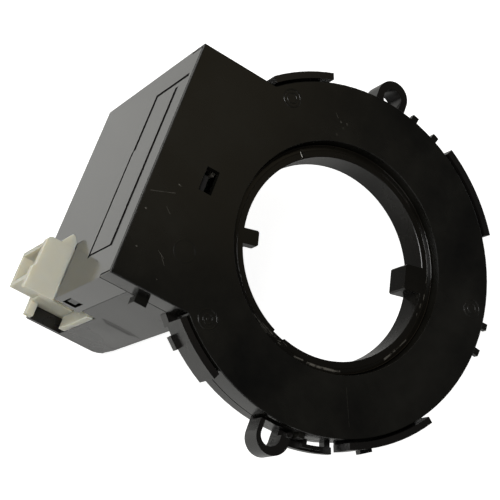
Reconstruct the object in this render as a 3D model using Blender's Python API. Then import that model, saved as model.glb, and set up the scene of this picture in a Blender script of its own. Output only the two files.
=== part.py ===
"""Steering angle sensor: a ring housing round the column, a deep box beside it and a two-gear angle pick-up.

Millimetres in the named sizes, metres in the scene. The origin is on the ring axis in the plane of the two
ears' seats, +Z leaves the front cover and the deep box stands on the -X side. Depths count back from the
front face.
"""

import math

import bmesh
import bpy

# Sizes in millimetres
MM = 0.001
SEAT_DEPTH = 8.2
SEGMENTS = 96
GAP = 0.3
WALL = 1.6

# Drive rotor
ROTOR_BORE_R = 25.7
ROTOR_WALL = 2.2
ROTOR_TUBE_R = ROTOR_BORE_R + ROTOR_WALL
ROTOR_FRONT = 2.3
RIM_ROUND = 0.9
ROTOR_BACK = 9.9
LUG_WIDE_REACH = 5.0
LUG_NARROW_REACH = 4.1
LUG_WIDE = 6.7
LUG_NARROW = 3.9
LUG_WIDE_AT = 14.4
LUG_NARROW_AT = 195.2
LUG_WIDE_BACK = 9.2
LUG_NARROW_BACK = 5.0
RUNNING_GAP = 0.5
ROTOR_HOLE_R = ROTOR_TUBE_R + RUNNING_GAP

# Gear train: the module follows from the rotor, because its pitch circle stands a fixed rim outside the tube
ROTOR_TEETH = 80
GEAR_A_TEETH = 20
GEAR_B_TEETH = 22
TOOTH_RIM = 4.1
MODULE = 2 * (ROTOR_TUBE_R + TOOTH_RIM) / ROTOR_TEETH
BACKLASH = 0.2
CENTRE_EXTRA = 0.05
GEAR_A_AT = 162.0
GEAR_B_AT = 200.0

# Ring and front cover
RIM_GAP = 0.7
FUNNEL = 0.7
COVER_HOLE_R = ROTOR_TUBE_R + RIM_GAP + FUNNEL
RING_WIDTH = 15.4
RING_R = COVER_HOLE_R + RING_WIDTH
PLATE_T = 1.8
SKIRT_DEPTH = 6.3
COLLAR_T = 1.5
COLLAR_DEPTH = 3.6
RING_DEPTH = 10.0
FLOOR_T = 1.6
LIP_T = 0.8
LIP_TOP = 3.9
TAB_REACH = RING_R + 1.5

# Gears between the cover and the sensor board
ROTOR_GEAR_TOP = COLLAR_DEPTH + 0.5
ROTOR_GEAR_BACK = RING_DEPTH - FLOOR_T - GAP
GEAR_TOP = ROTOR_GEAR_TOP + 0.5
GEAR_BACK = ROTOR_GEAR_BACK - 0.5
POST_R = 1.5
POST_GAP = 0.08
POST_END = GEAR_BACK - 1.6
MAGNET_R = 2.9
MAGNET_T = 1.2
MAGNET_TOP = GEAR_BACK
MAGNET_BACK = MAGNET_TOP + MAGNET_T

# Deep box
BOX_OUT = 7.8
BOX_X0 = -(RING_R + BOX_OUT)
BOX_WIDE = 24.4
BOX_X1 = BOX_X0 + BOX_WIDE
BOX_Y = RING_R - 13.1
BOX_DEPTH = 62.2
BACK_T = 2.4
BACK_ROUND = 1.0
CORNER_ROUND = 3.2
BACK_IN = BOX_DEPTH - BACK_T
FLANGE_X = BOX_X0 + 7.1
SIDE_TOP = 1.2
SIDE_Y = BOX_Y - 0.9
SIDE_END = BACK_IN
PAD_H = 0.4
CORNER = 180.0 - math.degrees(math.asin(BOX_Y / RING_R))
SNAP_X = BOX_X0 + 9.1
SNAP_OUT = 2.1

# Guards round the cover
GUARD_GAP = 0.75
GUARD_T = 1.75
GUARD_R0 = RING_R + GUARD_GAP
GUARD_R1 = GUARD_R0 + GUARD_T
GUARD_BACK = 7.6

# Ears
EAR_Y = RING_R + 3.3
EAR_R = 4.5
EAR_TOP = 2.3
EAR_HOLE_X = 0.5
EAR_HOLE_Y = EAR_Y - 0.5
EAR_HOLE_R = 2.7
EAR_SLOT_X = -0.7
EAR_SLOT_R = 2.6

# Connector, placed from the back of the box
HOOD_L = 21.2
HOOD_END = BACK_IN - 2.6
HOOD_TOP = HOOD_END - HOOD_L
HOOD_T = 1.3
HOOD_OUT = 6.6
HOOD_X = BOX_X0 - HOOD_OUT
HOOD_LIP_X = HOOD_X - 1.3
HOOD_H = 10.0
HOOD_Y0 = -(BOX_Y - 4.3)
HOOD_Y1 = HOOD_Y0 + HOOD_H
CONTROL_ROOM = 8.7
CONTROL_X = BOX_X1 - CONTROL_ROOM
HOOD_BACK_X = CONTROL_X - 4.6
HOOD_FLOOR_X = HOOD_BACK_X - 6.6
POST_BACK = BACK_IN - GAP
COVER_END = HOOD_TOP + 0.7
SOCKET_TOP = COVER_END + GAP + HOOD_T
TERMINALS = 5
TERMINAL_W = 0.64
TERMINAL_Y = HOOD_Y0 + HOOD_T + 1.4
TERMINAL_PITCH = 3.3
TERMINAL_FIRST = SOCKET_TOP + 2.0

# Boards
BOARD_T = 1.2
SENSOR_BOARD_TOP = MAGNET_BACK + 1.8
CONTROL_TOP = SENSOR_BOARD_TOP + BOARD_T + 2.7
CONTROL_END = BACK_IN - 2.3
CONTROL_Y = BOX_Y - WALL - 0.9


def clear_scene():
    for old in list(bpy.data.objects):
        bpy.data.objects.remove(old, do_unlink=True)
    for old in list(bpy.data.materials):
        bpy.data.materials.remove(old)


def up(depth):
    """Height of a depth below the front face."""
    return SEAT_DEPTH - depth


def make(name, points, faces):
    mesh = bpy.data.meshes.new(name)
    mesh.from_pydata([(x * MM, y * MM, z * MM) for x, y, z in points], [], faces)
    shape = bmesh.new()
    shape.from_mesh(mesh)
    bmesh.ops.recalc_face_normals(shape, faces=shape.faces)
    shape.to_mesh(mesh)
    shape.free()
    made = bpy.data.objects.new(name, mesh)
    bpy.context.scene.collection.objects.link(made)
    return made


def slab(name, outline, depth0, depth1):
    """A prism of an outline seen from the front, from one depth to another."""
    count = len(outline)
    points = [(x, y, up(depth0)) for x, y in outline] + [(x, y, up(depth1)) for x, y in outline]
    faces = [tuple(range(count)), tuple(range(2 * count - 1, count - 1, -1))]
    for i in range(count):
        j = (i + 1) % count
        faces.append((i, j, count + j, count + i))
    return make(name, points, faces)


def block(name, x0, x1, y0, y1, depth0, depth1):
    return slab(name, [(x0, y0), (x1, y0), (x1, y1), (x0, y1)], depth0, depth1)


def prism_y(name, outline, y0, y1):
    """A prism along Y of an outline given as (x, depth)."""
    count = len(outline)
    points = [(x, y0, up(d)) for x, d in outline] + [(x, y1, up(d)) for x, d in outline]
    faces = [tuple(range(count)), tuple(range(2 * count - 1, count - 1, -1))]
    for i in range(count):
        j = (i + 1) % count
        faces.append((i, j, count + j, count + i))
    return make(name, points, faces)


def prism_x(name, outline, x0, x1):
    """A prism along X of an outline given as (y, depth)."""
    count = len(outline)
    points = [(x0, y, up(d)) for y, d in outline] + [(x1, y, up(d)) for y, d in outline]
    faces = [tuple(range(count)), tuple(range(2 * count - 1, count - 1, -1))]
    for i in range(count):
        j = (i + 1) % count
        faces.append((i, j, count + j, count + i))
    return make(name, points, faces)


def circle(x, y, radius, count=SEGMENTS):
    step = 2 * math.pi / count
    return [(x + radius * math.cos(i * step), y + radius * math.sin(i * step)) for i in range(count)]


def disc(name, x, y, radius, depth0, depth1, count=SEGMENTS):
    return slab(name, circle(x, y, radius, count), depth0, depth1)


def sector(inner, outer, start, end, step=3.0):
    """An arc band between two radii, angles in degrees."""
    count = max(2, int(round(abs(end - start) / step)) + 1)
    angles = [math.radians(start + (end - start) * i / (count - 1)) for i in range(count)]
    outline = [(outer * math.cos(a), outer * math.sin(a)) for a in angles]
    outline += [(inner * math.cos(a), inner * math.sin(a)) for a in reversed(angles)]
    return outline


def revolve(name, profile, count=SEGMENTS):
    """A ring of a closed profile given as (radius, depth)."""
    points = []
    for i in range(count):
        turn = 2 * math.pi * i / count
        for radius, depth in profile:
            points.append((radius * math.cos(turn), radius * math.sin(turn), up(depth)))
    rows = len(profile)
    faces = []
    for i in range(count):
        after = (i + 1) % count
        for k in range(rows):
            n = (k + 1) % rows
            faces.append((i * rows + k, after * rows + k, after * rows + n, i * rows + n))
    return make(name, points, faces)


def closed(mesh):
    shape = bmesh.new()
    shape.from_mesh(mesh)
    whole = all(len(edge.link_faces) == 2 for edge in shape.edges)
    shape.free()
    return whole and len(mesh.polygons) > 0


def combined_mesh(target, tool, operation, solver):
    step = target.modifiers.new("step", "BOOLEAN")
    step.operation = operation
    step.solver = solver
    step.object = tool
    graph = bpy.context.evaluated_depsgraph_get()
    fresh = bpy.data.meshes.new_from_object(target.evaluated_get(graph))
    target.modifiers.clear()
    return fresh


def combine(target, tools, operation):
    """Runs one Boolean per tool: the exact solver, or the manifold one where exact leaves the mesh open."""
    for tool in tools:
        tool.hide_render = True
        tool.display_type = "WIRE"
        fresh = combined_mesh(target, tool, operation, "EXACT")
        if not closed(fresh):
            bpy.data.meshes.remove(fresh)
            fresh = combined_mesh(target, tool, operation, "MANIFOLD")
        old = target.data
        target.data = fresh
        bpy.data.meshes.remove(old)
        bpy.data.objects.remove(tool, do_unlink=True)
    target.data.name = target.name
    return target


def add(target, *tools):
    return combine(target, tools, "UNION")


def cut(target, *tools):
    return combine(target, tools, "DIFFERENCE")


def smooth(target, angle=32.0):
    """Smooth shading that keeps edges sharper than the angle."""
    for face in target.data.polygons:
        face.use_smooth = True
    shape = bmesh.new()
    shape.from_mesh(target.data)
    for edge in shape.edges:
        if len(edge.link_faces) == 2 and edge.calc_face_angle(0.0) > math.radians(angle):
            edge.smooth = False
    shape.to_mesh(target.data)
    shape.free()


def paint(target, name, colour, roughness, metallic=0.0):
    material = bpy.data.materials.new(name)
    material.use_nodes = True
    shader = material.node_tree.nodes["Principled BSDF"]
    shader.inputs["Base Color"].default_value = (*colour, 1.0)
    shader.inputs["Roughness"].default_value = roughness
    shader.inputs["Metallic"].default_value = metallic
    target.data.materials.clear()
    target.data.materials.append(material)
    smooth(target)
    return target


def set_origin(target, x, y, z=0.0):
    """Moves an object's origin without moving its shape."""
    for vertex in target.data.vertices:
        vertex.co.x -= x * MM
        vertex.co.y -= y * MM
        vertex.co.z -= z * MM
    target.location = (x * MM, y * MM, z * MM)


def involute_gear(teeth, phase, x=0.0, y=0.0, inside=1.0):
    """Outline of an external involute gear whose first tooth points at the phase, in degrees."""
    pitch_r = MODULE * teeth / 2
    base_r = pitch_r * math.cos(math.radians(20))
    tip_r = pitch_r + MODULE
    root_r = pitch_r - 1.25 * MODULE * inside
    half = math.pi / (2 * teeth) - BACKLASH / (4 * pitch_r)
    pressure = math.radians(20)
    flank0 = half + math.tan(pressure) - pressure
    start_r = max(base_r, root_r + 0.05)
    outline = []
    for k in range(teeth):
        middle = math.radians(phase) + 2 * math.pi * k / teeth
        side = []
        for i in (1, 2):
            radius = start_r + (tip_r - start_r) * i / 2
            roll = math.sqrt(max(0.0, (radius / base_r) ** 2 - 1))
            side.append((radius, flank0 - (roll - math.atan(roll))))
        foot = (root_r, min(flank0 + 0.01, math.pi / teeth * 0.92))
        for radius, angle in [foot] + side:
            outline.append((x + radius * math.cos(middle - angle), y + radius * math.sin(middle - angle)))
        for radius, angle in reversed([foot] + side):
            outline.append((x + radius * math.cos(middle + angle), y + radius * math.sin(middle + angle)))
    return outline


def gear_place(teeth, at):
    """Centre of a measuring gear and the phase that meshes it with the rotor at rest."""
    rotor_r = MODULE * ROTOR_TEETH / 2
    gear_r = MODULE * teeth / 2
    reach = rotor_r + gear_r + CENTRE_EXTRA
    x = reach * math.cos(math.radians(at))
    y = reach * math.sin(math.radians(at))
    pitch = 360.0 / ROTOR_TEETH
    nearest = round(at / pitch) * pitch
    arc = math.radians(nearest - at) * rotor_r
    space = at + 180.0 - math.degrees(arc / gear_r)
    return x, y, space + 180.0 / teeth


def body_outline(inset=0.0):
    """Ring and box seen from the front, as one outline."""
    radius = RING_R - inset
    half = BOX_Y - inset
    left = BOX_X0 + inset
    meet = math.degrees(math.asin(half / radius))
    start = -(180.0 - meet)
    end = 180.0 - meet
    count = 72
    outline = []
    for i in range(count + 1):
        a = math.radians(start + (end - start) * i / count)
        outline.append((radius * math.cos(a), radius * math.sin(a)))
    outline += [(left, half), (left, -half)]
    return outline


def turned(outline, degrees):
    c = math.cos(math.radians(degrees))
    s = math.sin(math.radians(degrees))
    return [(x * c - y * s, x * s + y * c) for x, y in outline]


def build_cover():
    cover = slab("front_cover", body_outline(), 0.0, SKIRT_DEPTH)
    for face in list(cover.data.polygons):
        face.use_smooth = False
    shape = bmesh.new()
    shape.from_mesh(cover.data)
    top = [e for e in shape.edges if all(abs(v.co.z - up(0.0) * MM) < 1e-7 for v in e.verts)]
    bmesh.ops.bevel(shape, geom=top, offset=0.35 * MM, segments=2, profile=0.5, affect="EDGES")
    shape.to_mesh(cover.data)
    shape.free()
    cut(cover, slab("inside", body_outline(WALL), PLATE_T, SKIRT_DEPTH + 1))
    collar = [
        (COVER_HOLE_R - 1.0, PLATE_T - 0.6),
        (COVER_HOLE_R + COLLAR_T, PLATE_T - 0.6),
        (COVER_HOLE_R + COLLAR_T, COLLAR_DEPTH),
        (COVER_HOLE_R - 1.0, COLLAR_DEPTH),
    ]
    add(cover, revolve("collar", collar))
    cut(cover, disc("hole", 0, 0, COVER_HOLE_R - FUNNEL, -1.0, COLLAR_DEPTH + 1))
    edge = [
        (COVER_HOLE_R - 3, -1.0),
        (COVER_HOLE_R + 1.5, -1.0),
        (COVER_HOLE_R + 0.25, 0.0),
        (COVER_HOLE_R, 0.3),
        (COVER_HOLE_R - FUNNEL - 0.02, 2.2),
        (COVER_HOLE_R - 3, 2.2),
    ]
    cut(cover, revolve("hole_edge", edge))
    for at, width in ((80.5, 1.9), (71.2, 1.9), (3.8, 1.8), (-5.4, 1.8)):
        tab = [(RING_R - 1.0, -width / 2), (TAB_REACH, -width / 2)]
        tab += [(TAB_REACH, width / 2), (RING_R - 1.0, width / 2)]
        add(cover, slab("tab", turned(tab, at), 0.2, PLATE_T - 0.1))
    add(cover, slab("snap_tab", sector(RING_R - 1.0, RING_R + 1.3, -82.6, -80.7, 0.9), 1.6, 5.6))
    cut(cover, block("latch_window", BOX_X0 + 12.1, BOX_X0 + 15.5, -3.0, 3.3, -1.0, PLATE_T + 1.0))
    side_edge = SIDE_Y + GAP
    room_x = BOX_X0 + WALL + GAP
    cut(cover, block("side_room", BOX_X0 - 1, room_x, -side_edge, side_edge, SIDE_TOP - GAP, SKIRT_DEPTH + 1))
    for side in (-1, 1):
        low, high = sorted((side * (BOX_Y - 0.8), side * (BOX_Y + SNAP_OUT)))
        lug = block("snap_lug", SNAP_X, SNAP_X + 3.3, low, high, 4.5, 8.0)
        low, high = sorted((side * (BOX_Y - 1.5), side * (BOX_Y + GAP)))
        cut(lug, block("lug_room", SNAP_X - 1, SNAP_X + 5, low, high, SKIRT_DEPTH, 9.0))
        add(cover, lug)
    for teeth, at in ((GEAR_A_TEETH, GEAR_A_AT), (GEAR_B_TEETH, GEAR_B_AT)):
        x, y, _ = gear_place(teeth, at)
        add(cover, disc("post", x, y, POST_R, PLATE_T - 0.6, POST_END, 32))
    return paint(cover, "black_pbt_cover", (0.012, 0.012, 0.013), 0.28)


def build_housing():
    rear = SKIRT_DEPTH + GAP
    housing = slab("rear_housing", body_outline(), rear, RING_DEPTH)
    profile = [(BOX_X0, RING_DEPTH - 1.0), (BOX_X1, RING_DEPTH - 1.0)]
    for i in range(7):
        a = math.radians(90.0 * i / 6)
        x = BOX_X1 - CORNER_ROUND * (1 - math.cos(a))
        profile.append((x, BOX_DEPTH - CORNER_ROUND * (1 - math.sin(a))))
    profile.append((BOX_X0, BOX_DEPTH))
    deep = prism_y("deep", profile, -BOX_Y, BOX_Y)
    shape = bmesh.new()
    shape.from_mesh(deep.data)
    side, turn = (BOX_Y - 0.01) * MM, up(BOX_DEPTH - CORNER_ROUND - 0.01) * MM
    back = [e for e in shape.edges if all(v.co.y > side and v.co.z < turn for v in e.verts)]
    back += [e for e in shape.edges if all(v.co.y < -side and v.co.z < turn for v in e.verts)]
    bmesh.ops.bevel(shape, geom=back, offset=BACK_ROUND * MM, segments=2, profile=0.5, affect="EDGES")
    shape.to_mesh(deep.data)
    shape.free()
    add(housing, deep)
    near, far = -BOX_Y + 0.4, BOX_DEPTH - CORNER_ROUND
    pad = [(near, COVER_END - 5.4), (-BOX_Y, COVER_END - 4.6), (-BOX_Y - 0.7 * PAD_H, COVER_END - 3.8)]
    pad += [(-BOX_Y - PAD_H, COVER_END - 2.8), (-BOX_Y - PAD_H, COVER_END + 5.0), (-BOX_Y, far), (near, far)]
    points = []
    faces = [tuple(range(len(pad))), tuple(range(4 * len(pad) - 1, 3 * len(pad) - 1, -1))]
    stations = ((HOOD_BACK_X + 0.6, 0.0), (HOOD_BACK_X + 3.0, 1.0), (BOX_X1 - 4.0, 1.0), (BOX_X1 - 0.4, 0.0))
    for x, height in stations:
        for y, d in pad:
            rise = min(y + BOX_Y, 0.0) * height
            points.append((x, max(y, -BOX_Y) + 0.05 * (1 - height) + rise, up(d)))
    for i in range(len(pad)):
        j = (i + 1) % len(pad)
        for k in (0, len(pad), 2 * len(pad)):
            faces.append((k + i, k + j, k + len(pad) + j, k + len(pad) + i))
    add(housing, make("pad", points, faces))
    ring_inside = disc("ring_inside", 0, 0, RING_R - WALL, rear - 1, RING_DEPTH - FLOOR_T)
    cut(housing, ring_inside)
    half = BOX_Y - WALL
    cavity = block("cavity", BOX_X0 - 1, BOX_X1 - WALL, -half, half, rear - 1, BACK_IN)
    cut(housing, cavity)
    cut(housing, disc("bore", 0, 0, ROTOR_HOLE_R, 5.0, RING_DEPTH + 5.0))
    for side in (-1, 1):
        low, high = sorted((side * (BOX_Y + 1), side * (BOX_Y - WALL - 1)))
        cut(housing, block("flange_room", BOX_X0 - 1, FLANGE_X + GAP, low, high, rear - 1, COVER_END + GAP))
    far = BOX_X0 + WALL + GAP
    room = block("plate_room", BOX_X0 - 1, far, -BOX_Y - 1, BOX_Y + 1, rear - 1, BOX_DEPTH + 1)
    cut(housing, room)
    room = block("plug_room", BOX_X0 - 1, HOOD_BACK_X + GAP, -BOX_Y - 1, -BOX_Y + 6.6, COVER_END - 2, BACK_IN)
    cut(housing, room)

    # Inner lip behind the cover's skirt
    lip = sector(RING_R - WALL - GAP - LIP_T, RING_R - WALL - GAP, -131.0, 131.0, 3.0)
    add(housing, slab("lip", lip, LIP_TOP, RING_DEPTH - FLOOR_T + 0.5))

    # Arc guards standing round the cover
    for start, end in ((113.0, CORNER - 0.8), (34.5, 64.5), (-66.0, -35.0), (0.6 - CORNER, -115.0)):
        add(housing, slab("guard", sector(GUARD_R0, GUARD_R1, start, end), 0.0, GUARD_BACK))
        add(housing, slab("root", sector(RING_R - 0.8, GUARD_R1 - 0.6, start, end), rear, GUARD_BACK - 0.1))
    for start, end in ((-CORNER - 2.3, 1.5 - CORNER), (CORNER - 1.5, CORNER + 2.3)):
        add(housing, slab("ledge", sector(RING_R - 0.8, GUARD_R1 - 0.5, start, end, 1.5), 7.0, RING_DEPTH))

    # Outer lugs and the snap loop beside the lower ear
    inner = GUARD_R1 - 0.8
    lug = [(inner, -1.75), (GUARD_R1 + 1.0, -1.75), (GUARD_R1 + 1.0, 1.75), (inner, 1.75)]
    for at in (-128.7, -55.9):
        add(housing, slab("lug", turned(lug, at), 6.0, GUARD_BACK + 0.4))
    root = RING_R - 0.8
    add(housing, slab("loop", sector(RING_R + 1.4, RING_R + 3.1, -82.5, -68.0, 2.0), 6.0, 7.8))
    add(housing, slab("loop_wall", sector(RING_R + 1.9, RING_R + 2.6, -79.0, -72.5, 2.0), 4.4, 6.4))
    add(housing, slab("loop_end", sector(RING_R + 0.5, RING_R + 2.6, -79.0, -77.6, 0.7), 4.4, 6.4))
    add(housing, slab("loop_root", sector(root, RING_R + 1.9, -82.5, -77.0, 1.8), rear, 9.0))
    add(housing, slab("loop_root", sector(root, RING_R + 1.9, -70.0, -68.0, 1.0), rear, 9.0))
    add(housing, slab("stop", sector(RING_R + 0.5, RING_R + 1.6, -85.0, -83.4, 0.8), 3.4, 8.1))
    add(housing, slab("stop_root", sector(root, RING_R + 1.6, -85.0, -81.8, 1.6), 7.0, RING_DEPTH))

    # Ears: a round hole in the upper one, a slot open to the ring in the lower one
    for side, middle in ((-1, 0.0), (1, 0.4)):
        ear = disc("ear", middle, side * EAR_Y, EAR_R, EAR_TOP, SEAT_DEPTH, 48)
        near, far = sorted((side * (RING_R + 0.4), side * EAR_Y))
        add(ear, block("web", middle - EAR_R, middle + EAR_R, near, far, EAR_TOP, SEAT_DEPTH))
        cut(ear, disc("cover_room", 0, 0, RING_R + 0.4, 0.0, rear + 0.2))
        near, far = sorted((side * (RING_R - 1.2), side * (RING_R + 1.2)))
        add(ear, block("foot", middle - EAR_R, middle + EAR_R, near, far, rear + 0.2, SEAT_DEPTH))
        if side > 0:
            cut(ear, disc("ear_hole", EAR_HOLE_X, EAR_HOLE_Y, EAR_HOLE_R, 0, 12, 48))
        else:
            slot = [(EAR_SLOT_X - EAR_SLOT_R, -RING_R - 0.5)]
            for i in range(25):
                a = math.radians(180 + 180 * i / 24)
                slot.append((EAR_SLOT_X + EAR_SLOT_R * math.cos(a), -EAR_Y + EAR_SLOT_R * math.sin(a)))
            slot.append((EAR_SLOT_X + EAR_SLOT_R, -RING_R - 0.5))
            cut(ear, slab("ear_slot", slot, 0, 12))
            step = EAR_SLOT_X + EAR_SLOT_R - 0.3
            cut(ear, block("arm_step", step, 6.0, -RING_R - 2.0, -RING_R + 1.7, 1.0, 4.5))
        add(housing, ear)

    # Spring tongues that hook into the side cover's two windows
    for side in (-1, 1):
        low, high = sorted((side * (BOX_Y - WALL - GAP), side * (BOX_Y - WALL - GAP - 1.4)))
        add(housing, block("tongue", BOX_X0 + 2.2, BOX_X0 + 9.5, low, high, COVER_END - 6.8, COVER_END - 2.4))
        low, high = sorted((side * (BOX_Y - WALL + 0.3), side * (BOX_Y - WALL - GAP - 1.4)))
        root = block("tongue_root", BOX_X0 + 7.5, BOX_X0 + 9.3, low, high, COVER_END - 6.5, COVER_END - 2.7)
        add(housing, root)
        low, high = sorted((side * (BOX_Y - 0.3), side * (BOX_Y - WALL - 1.0)))
        add(housing, block("tooth", BOX_X0 + 2.6, BOX_X0 + 4.8, low, high, COVER_END - 6.3, COVER_END - 3.1))

    # Rails that hold the controller board and ledges under the sensor board
    for side in (-1, 1):
        low, high = sorted((side * (BOX_Y - WALL + 0.3), side * (CONTROL_Y - 1.2)))
        for x0 in (CONTROL_X - GAP - 1.3, CONTROL_X + BOARD_T + GAP):
            add(housing, block("rail", x0, x0 + 1.3, low, high, CONTROL_TOP, BACK_IN + 0.3))
        top = SENSOR_BOARD_TOP + BOARD_T + GAP
        add(housing, block("shelf", BOX_X0 + 8.5, BOX_X1 - 2.3, low, high, top, CONTROL_TOP - 0.5))
    return paint(housing, "black_pbt_housing", (0.014, 0.014, 0.015), 0.42)


def build_side_cover():
    rear = SKIRT_DEPTH + GAP
    inner = BOX_X0 + WALL
    side = block("side_cover", BOX_X0, inner, -BOX_Y, BOX_Y, rear, SIDE_END)
    add(side, block("top_edge", BOX_X0, inner, -SIDE_Y, SIDE_Y, SIDE_TOP, rear + 1.0))
    for sign in (-1, 1):
        low, high = sorted((sign * BOX_Y, sign * (BOX_Y - WALL)))
        add(side, block("flange", BOX_X0, FLANGE_X, low, high, rear, COVER_END))
    plug = block("plug_hole", BOX_X0 - 1, inner + 1, -BOX_Y - 1, HOOD_Y1 + GAP, HOOD_TOP - GAP, BOX_DEPTH + 1)
    cut(side, plug)
    for sign in (-1, 1):
        low, high = sorted((sign * (BOX_Y + 1), sign * (BOX_Y - WALL - 1)))
        window = block("snap_window", BOX_X0 + 1.9, BOX_X0 + 5.5, low, high, COVER_END - 7.2, COVER_END - 2.0)
        cut(side, window)
    mark = 0.5
    for y0, y1, d0, d1 in (
        (22.9, 23.9, 2.8, 22.0),
        (7.0, 23.9, 20.4, 22.0),
        (-23.2, 7.0, 21.3, 22.4),
        (-22.9, -22.3, 7.6, 22.4),
        (-22.9, 21.6, 7.3, 9.0),
    ):
        cut(side, block("groove", BOX_X0 - 1, BOX_X0 + mark, y0, y1, d0, d1))
    tip = BOX_X0 + 13.9
    arm = [(inner - 0.6, 2.2), (tip, 2.2), (tip, 3.6), (inner + 2.1, 3.6), (inner - 0.6, 6.4)]
    hook = prism_y("hook_arm", arm, -2.6, 1.3)
    tooth = [(tip - 1.5, 0.7), (tip - 0.1, 1.1), (tip, 2.6), (tip - 1.5, 2.6)]
    add(hook, prism_y("tooth", tooth, -2.6, 1.3))
    add(side, hook)
    return paint(side, "black_pbt_side_cover", (0.016, 0.016, 0.017), 0.22)


def build_rotor():
    tube = [
        (ROTOR_BORE_R, ROTOR_FRONT + 0.4),
        (ROTOR_BORE_R + 0.35, ROTOR_FRONT),
        (ROTOR_TUBE_R - RIM_ROUND, ROTOR_FRONT),
        (ROTOR_TUBE_R - 0.5 * RIM_ROUND, ROTOR_FRONT + 0.13 * RIM_ROUND),
        (ROTOR_TUBE_R - 0.13 * RIM_ROUND, ROTOR_FRONT + 0.5 * RIM_ROUND),
        (ROTOR_TUBE_R, ROTOR_FRONT + RIM_ROUND),
        (ROTOR_TUBE_R, ROTOR_BACK),
        (ROTOR_BORE_R, ROTOR_BACK),
    ]
    rotor = revolve("drive_rotor", tube)
    wheel = slab("wheel", involute_gear(ROTOR_TEETH, 0.0), ROTOR_GEAR_TOP, ROTOR_GEAR_BACK)
    cut(wheel, disc("wheel_hole", 0, 0, ROTOR_TUBE_R - 0.6, 0, 12))
    add(rotor, wheel)
    lugs = (
        (LUG_WIDE_AT, LUG_WIDE, LUG_WIDE_REACH, LUG_WIDE_BACK),
        (LUG_NARROW_AT, LUG_NARROW, LUG_NARROW_REACH, LUG_NARROW_BACK),
    )
    for at, width, reach, back in lugs:
        half = width / 2
        tip = ROTOR_BORE_R - reach
        lug = [(tip + 0.4, -half), (ROTOR_BORE_R + 0.8, -half), (ROTOR_BORE_R + 0.8, half)]
        lug += [(tip + 0.4, half), (tip, half - 0.4), (tip, -half + 0.4)]
        add(rotor, slab("lug", turned(lug, at), ROTOR_FRONT, back))
    gusset = [(ROTOR_BORE_R - 2.0, LUG_NARROW_BACK - 0.6), (ROTOR_BORE_R + 0.8, LUG_NARROW_BACK - 0.6)]
    gusset += [(ROTOR_BORE_R + 0.8, LUG_NARROW_BACK + 1.8), (ROTOR_BORE_R - 0.7, LUG_NARROW_BACK + 1.5)]
    gusset += [(ROTOR_BORE_R - 1.4, LUG_NARROW_BACK + 0.7)]
    web = prism_y("gusset", gusset, -LUG_NARROW / 2 + 0.01, LUG_NARROW / 2 - 0.01)
    for vertex in web.data.vertices:
        x, y = turned([(vertex.co.x, vertex.co.y)], LUG_NARROW_AT)[0]
        vertex.co.x, vertex.co.y = x, y
    add(rotor, web)
    notch = sector(ROTOR_BORE_R - 1.0, ROTOR_BORE_R + 0.7, -110.0, -102.5, 1.0)
    cut(rotor, slab("notch", notch, ROTOR_FRONT - 1.0, ROTOR_FRONT + 1.2))
    mark = [(ROTOR_BORE_R - 1.0, -0.35), (ROTOR_TUBE_R + 0.5, -0.35), (ROTOR_TUBE_R + 0.5, 0.35)]
    mark += [(ROTOR_BORE_R - 1.0, 0.35)]
    cut(rotor, slab("mark_groove", turned(mark, 131.2), ROTOR_FRONT - 1.0, ROTOR_FRONT + 0.25))
    return paint(rotor, "black_pom_rotor", (0.015, 0.015, 0.015), 0.3)


def build_gear(name, teeth, at, colour):
    x, y, phase = gear_place(teeth, at)
    gear = slab(name, involute_gear(teeth, phase, x, y), GEAR_TOP, GEAR_BACK)
    add(gear, disc("neck", x, y, 3.0, PLATE_T + 0.4, GEAR_TOP + 0.5, 32))
    add(gear, disc("hub", x, y, MAGNET_R + 1.3, GEAR_BACK - 0.5, MAGNET_BACK, 32))
    cut(gear, disc("spindle", x, y, POST_R + POST_GAP, 0.5, POST_END + GAP, 32))
    cut(gear, disc("magnet_room", x, y, MAGNET_R + GAP, MAGNET_TOP - GAP, MAGNET_BACK + 1, 32))
    set_origin(gear, x, y)
    return paint(gear, name + "_pom", colour, 0.35)


def build_magnet(name, teeth, at):
    x, y, _ = gear_place(teeth, at)
    magnet = disc(name, x, y, MAGNET_R, MAGNET_TOP, MAGNET_BACK, 32)
    set_origin(magnet, x, y)
    return paint(magnet, name + "_ferrite", (0.05, 0.05, 0.055), 0.45, 0.3)


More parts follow.
